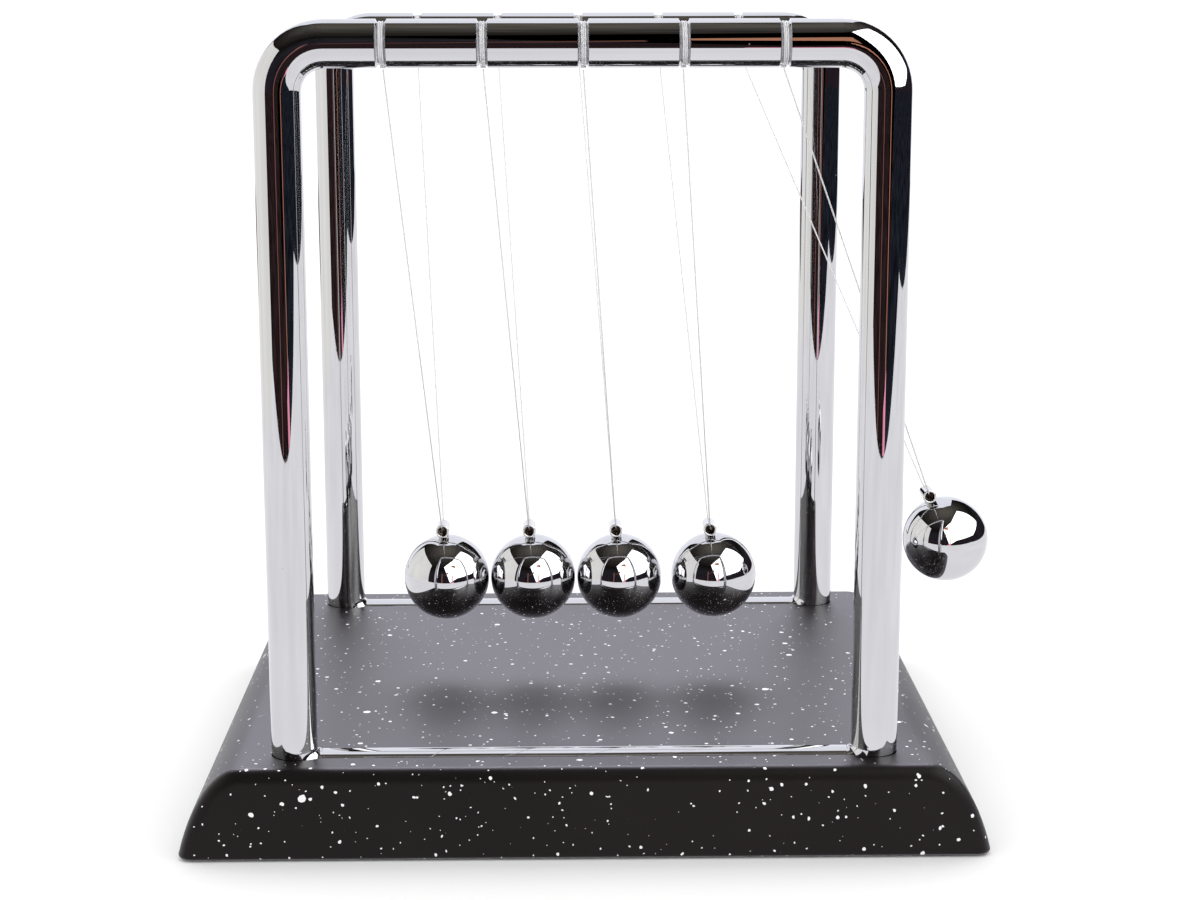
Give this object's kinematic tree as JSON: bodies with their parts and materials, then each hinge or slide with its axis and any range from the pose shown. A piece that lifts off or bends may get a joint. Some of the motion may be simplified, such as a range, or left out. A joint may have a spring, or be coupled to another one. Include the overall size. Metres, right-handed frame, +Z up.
{
  "type": "newtons cradle",
  "caption": "Steel balls hung on V threads between twin closed chrome tube frames, on a weighted black base with rounded ends.",
  "frame": {"origin": "the surface that the cradle stands on, under the middle of the base", "axes": "+X along the row of balls, towards the ball that is swung out at rest; +Y from the front frame to the rear frame; +Z up"},
  "size_m": [0.1886, 0.153, 0.1801],
  "materials": {
    "black_abs": "satin black moulding with fine pale speckles",
    "cover_plastic": "plain black moulding",
    "foam_pad": "black closed-cell sheet",
    "ballast_steel": "plain rolled plate",
    "screw_steel": "zinc plated",
    "frame_chrome": "bright chrome plate",
    "ball_chrome": "polished chrome plated steel",
    "eyelet_chrome": "bright chrome plate",
    "clear_nylon": "clear nylon line"
  },
  "bodies": {
    "root": {"base_shell": "black_abs", "bottom_cover": "cover_plastic", "antislip_pad": "foam_pad", "base_weight": "ballast_steel", "cover_screws": "screw_steel", "frame_screws": "screw_steel", "front_frame": "frame_chrome", "rear_frame": "frame_chrome", "front_thread_loops": "clear_nylon", "rear_thread_loops": "clear_nylon"},
    "ball_1": {"ball_1": "ball_chrome", "eyelet_1": "eyelet_chrome", "thread_1": "clear_nylon", "front_knot_1": "clear_nylon", "rear_knot_1": "clear_nylon"},
    "ball_2": {"ball_2": "ball_chrome", "eyelet_2": "eyelet_chrome", "thread_2": "clear_nylon", "front_knot_2": "clear_nylon", "rear_knot_2": "clear_nylon"},
    "ball_3": {"ball_3": "ball_chrome", "eyelet_3": "eyelet_chrome", "thread_3": "clear_nylon", "front_knot_3": "clear_nylon", "rear_knot_3": "clear_nylon"},
    "ball_4": {"ball_4": "ball_chrome", "eyelet_4": "eyelet_chrome", "thread_4": "clear_nylon", "front_knot_4": "clear_nylon", "rear_knot_4": "clear_nylon"},
    "ball_5": {"ball_5": "ball_chrome", "eyelet_5": "eyelet_chrome", "thread_5": "clear_nylon", "front_knot_5": "clear_nylon", "rear_knot_5": "clear_nylon"}
  },
  "joints": [
    {"name": "ball_1_swing", "type": "hinge", "parent": "root", "child": "ball_1", "pos_m": [-0.042, 0, 0.17019], "axis": [0, -1, 0], "range_deg": [-35, 0.12]},
    {"name": "ball_2_swing", "type": "hinge", "parent": "root", "child": "ball_2", "pos_m": [-0.021, 0, 0.17019], "axis": [0, -1, 0], "range_deg": [-0.115, 0.125]},
    {"name": "ball_3_swing", "type": "hinge", "parent": "root", "child": "ball_3", "pos_m": [0, 0, 0.17019], "axis": [0, -1, 0], "range_deg": [-0.12, 1.04]},
    {"name": "ball_4_swing", "type": "hinge", "parent": "root", "child": "ball_4", "pos_m": [0.021, 0, 0.17019], "axis": [0, -1, 0], "range_deg": [-1.04, 16.95]},
    {"name": "ball_5_swing", "type": "hinge", "parent": "root", "child": "ball_5", "pos_m": [0.042, 0, 0.17019], "axis": [0, -1, 0], "range_deg": [-16.95, 20]}
  ]
}
